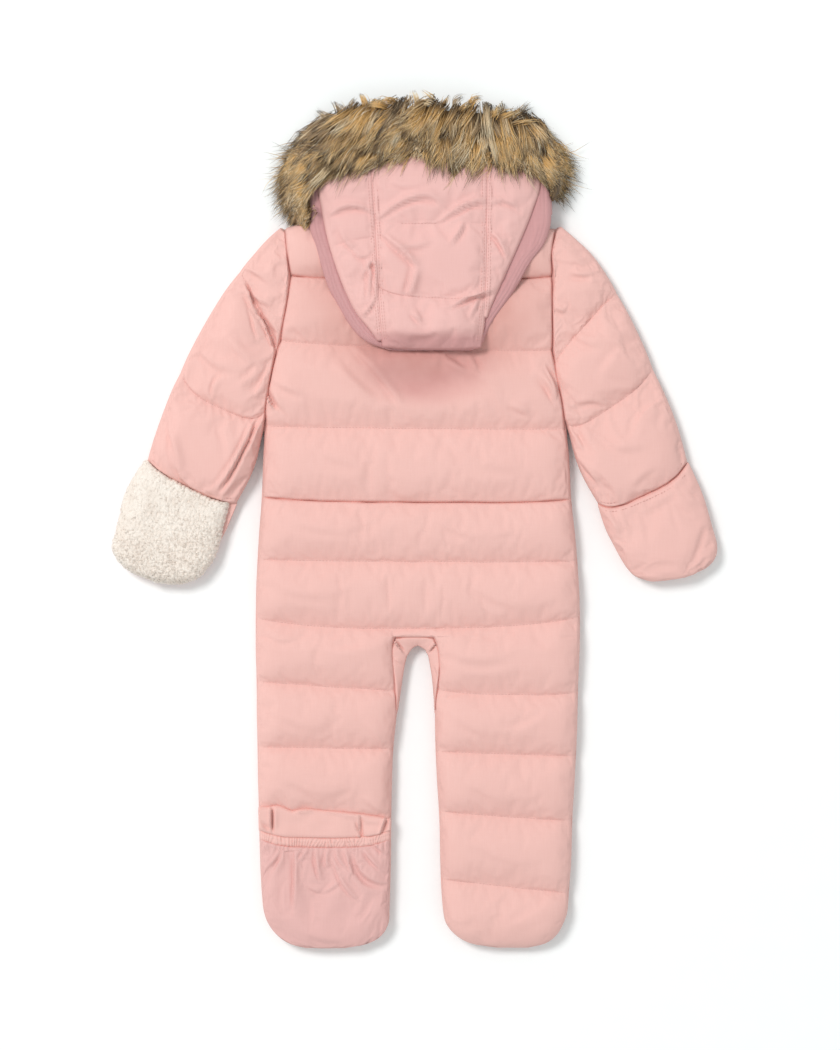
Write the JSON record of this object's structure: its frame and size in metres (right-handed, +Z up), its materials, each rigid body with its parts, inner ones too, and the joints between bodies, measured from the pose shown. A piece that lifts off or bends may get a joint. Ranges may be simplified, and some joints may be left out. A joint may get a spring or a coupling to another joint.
{
  "type": "toddler snowsuit",
  "caption": "Padded one-piece snowsuit for a toddler, laid flat on its front: quilted body and legs, fur-trimmed hood, fold-over mittens and feet, front zip underneath.",
  "frame": {"origin": "on the floor, under the middle of the suit's box", "axes": "+Z up from the floor, +Y towards the hood, +X towards the wearer's right, with the suit's back up"},
  "size_m": [0.6625, 0.938, 0.054],
  "materials": {
    "shell": "matt pink woven cotton blend",
    "hood_shell": "matt pink woven cotton blend, a shade greyer",
    "fleece": "cream knobbly pile fleece",
    "fur": "long faux fur, tan with brown tips",
    "zip_tape": "woven zip tape with a moulded coil",
    "zip_metal": "plain satin metal"
  },
  "bodies": {
    "suit": {"back_yoke": "shell", "back_upper": "shell", "back_lower": "shell", "crotch_gusset": "shell", "front_left": "shell", "front_right": "shell", "sleeve_left_back": "shell", "sleeve_left_front": "shell", "sleeve_right_back": "shell", "sleeve_right_front": "shell", "mitten_right_back": "shell", "mitten_right_palm": "shell", "mitten_left_fleece": "fleece", "mitten_left_palm": "shell", "hood_under": "hood_shell", "hood_left": "hood_shell", "hood_centre": "hood_shell", "hood_right": "hood_shell", "fur_trim": "fur", "foot_left_lining": "shell", "foot_left_elastic": "shell", "foot_left_flap": "shell", "foot_right_elastic": "shell", "foot_right_flap": "shell", "zip_tape_left": "zip_tape", "zip_tape_right": "zip_tape", "zip_coil": "zip_tape", "zip_slider": "zip_metal"},
    "pull": {"zip_pull": "zip_metal"}
  },
  "joints": [
    {"name": "pull_swing", "type": "hinge", "parent": "suit", "child": "pull", "pos_m": [0, 0.3265, 0.0069], "axis": [1, 0, 0], "range_deg": [0, 130]}
  ]
}
